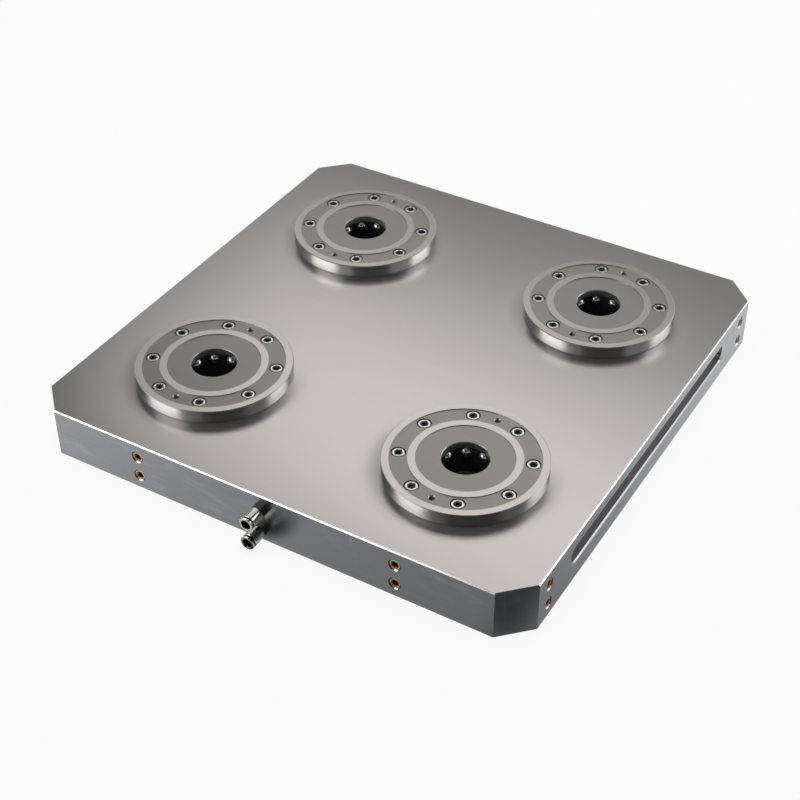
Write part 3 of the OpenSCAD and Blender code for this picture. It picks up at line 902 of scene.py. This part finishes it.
def soft_box(name, place, aim, size, radiance, tint=(1, 1, 1), spin=0):
    """A rectangular soft light whose face has a given radiance, turned by spin degrees."""
    width, height = size
    lamp = bpy.data.lights.new(name, "AREA")
    lamp.shape = "RECTANGLE"
    lamp.size, lamp.size_y = width, height
    lamp.energy = radiance * math.pi * width * height
    lamp.color = tint
    box = add_object(name, lamp)
    turn = (Vector(aim) - Vector(place)).to_track_quat("-Z", "Y")
    about = Matrix.Rotation(math.radians(spin), 4, "Z")
    box.matrix_world = Matrix.Translation(place) @ about @ turn.to_matrix().to_4x4()
    box.visible_camera = False
    return box


soft_box("back_box", (*BACK, BACK_HEIGHT), (*BACK, 0), (1.35, 0.70), 1.24, WARM, -8)
soft_box("back_fill", (*FILL, BACK_HEIGHT), (*FILL, 0), (1.1, 0.8), 0.12)
soft_box("right_box", (1.22, 1.12, 0.95), (0.1, 0.1, 0.05), (1.25, 0.85), 2.05)
soft_box("left_box", (-1.10, -1.26, 1.02), (0, 0, 0.05), (1.4, 0.75), 2.6, IVORY)
top_box = soft_box("top_box", (*ABOVE, TOP_HEIGHT), (*ABOVE, 0), (1.9, 1.9), 2.4)
top_box.visible_glossy = False

# %% [markdown]
# The room is dark apart from a faint ceiling, so that metal which mirrors none of the boxes stays
# dark. The world's strength rises smoothly towards the top of the sky.

# %% Room
CEILING = {"From Min": 0.80, "From Max": 0.97, "To Min": 0.05, "To Max": 0.25}

world = bpy.data.worlds.new("studio_world")
bpy.context.scene.world = world
world.use_nodes = True
sky = world.node_tree.nodes
sky_links = world.node_tree.links
upward = sky.new("ShaderNodeSeparateXYZ")
sky_links.new(sky.new("ShaderNodeTexCoord").outputs["Generated"], upward.inputs[0])
ceiling = sky.new("ShaderNodeMapRange")
ceiling.interpolation_type = "SMOOTHSTEP"
for socket, value in CEILING.items():
    ceiling.inputs[socket].default_value = value
sky_links.new(upward.outputs["Z"], ceiling.inputs["Value"])
sky_links.new(ceiling.outputs["Result"], sky["Background"].inputs["Strength"])
sky["Background"].inputs["Color"].default_value = (1.0, 1.0, 1.0, 1.0)
print("sky strength from", CEILING["To Min"], "to", CEILING["To Max"])

# %% [markdown]
# ## Black cloth and flag
# Bright steel beside a white floor looks flat, so a photographer lays a black cloth where only
# the metal mirrors it. This one lies in front of the near corner and shows in reflections alone.
# A black flag stands beside the camera in the same way, as the dark end of the studio.

# %% Sheets for reflections
BLACK = (0.01, 0.01, 0.01, 1.0)


def see_through(finish, cover):
    """Lets rays pass where a finish's cover is thin."""
    clear = finish.node("ShaderNodeBsdfTransparent", {}, {})
    return finish.blend(cover, clear, finish.principled())


def hang(name, sheet, material):
    """Adds a sheet that only reflections can see."""
    mesh = as_mesh(name, sheet)
    mesh.materials.append(material)
    hung = add_object(name, mesh)
    hung.visible_camera = False
    hung.visible_diffuse = False
    hung.visible_transmission = False
    hung.visible_shadow = False
    print(name, "hangs with", len(mesh.vertices), "corners")


# %% [markdown]
# The cloth is thickest at the near corner and fades with the distance from it, more slowly along
# the front face. A round patch below the fittings is a painted shadow, where a real floor lies in
# the fittings' shade.

# %% Black cloth
CLOTH_REACH, CLOTH_LIFT = 0.5, 0.4 * MM
CLOTH_FADE, CLOTH_COVER = 0.50, 0.62
CORNER_FADE, CORNER_COVER = 0.035, 0.30
ALONG_FRONT = 0.72
FITTING_SHADOW_LEFT, FITTING_SHADOW_AHEAD = 3 * MM, 22 * MM
FITTING_SHADOW_CORE, FITTING_SHADOW_EDGE = 6 * MM, 38 * MM


def cloth_finish():
    cloth = Finish("black_cloth", Roughness=1.0, Base_Color=BLACK)
    x, y = cloth.place()[1:3]
    left = (PLATE_HALF - x).most(0.0) * ALONG_FRONT
    behind = (y + PLATE_HALF).most(0.0)
    away = distance(left, behind)
    cover = cloth.rise(away, 0.0, CLOTH_FADE, CLOTH_COVER, 0.0)
    cover = cover + cloth.rise(away, 0.0, CORNER_FADE, CORNER_COVER, 0.0)
    # A painted shadow of the fittings on the cloth.
    from_fitting_shadow = distance(x + FITTING_SHADOW_LEFT, y + PLATE_HALF + FITTING_SHADOW_AHEAD)
    patch = cloth.rise(from_fitting_shadow, FITTING_SHADOW_CORE, FITTING_SHADOW_EDGE, 1.0, 0.0)
    return see_through(cloth, cover.most(patch))


weave = bmesh.new()
bmesh.ops.create_grid(weave, x_segments=1, y_segments=1, size=CLOTH_REACH)
bmesh.ops.translate(weave, verts=weave.verts, vec=(PLATE_HALF, -PLATE_HALF, CLOTH_LIFT))
hang("black_cloth", weave, cloth_finish())

# %% [markdown]
# The flag is an upright panel that fades out towards its top, so that its edge isn't mirrored as
# a hard line.

# %% Black flag
FLAG_HEIGHT, FLAG_STRETCH = 1.4, 1.3
FADE_START, FLAG_COVER = 0.9, 0.9
FLAG_PLACE = (0.95, -1.15, 0.72)
FLAG_TURN = math.radians(40)


def flag_finish():
    flag = Finish("black_flag", Roughness=1.0, Base_Color=BLACK)
    z = flag.place()[3]
    return see_through(flag, flag.rise(z, FADE_START, FLAG_HEIGHT, FLAG_COVER, 0.0))


stand = Matrix.Translation(FLAG_PLACE) @ Matrix.Rotation(FLAG_TURN, 4, "Z")
stand = stand @ Matrix.Rotation(QUARTER, 4, "X")
panel = bmesh.new()
bmesh.ops.create_grid(panel, x_segments=1, y_segments=1, size=FLAG_HEIGHT / 2)
bmesh.ops.scale(panel, verts=panel.verts, vec=(FLAG_STRETCH, 1.0, 1.0))
bmesh.ops.transform(panel, verts=panel.verts, matrix=stand)
hang("black_flag", panel, flag_finish())

# %% [markdown]
# ## Finish
# The dressed model has to keep the CAD model's size.
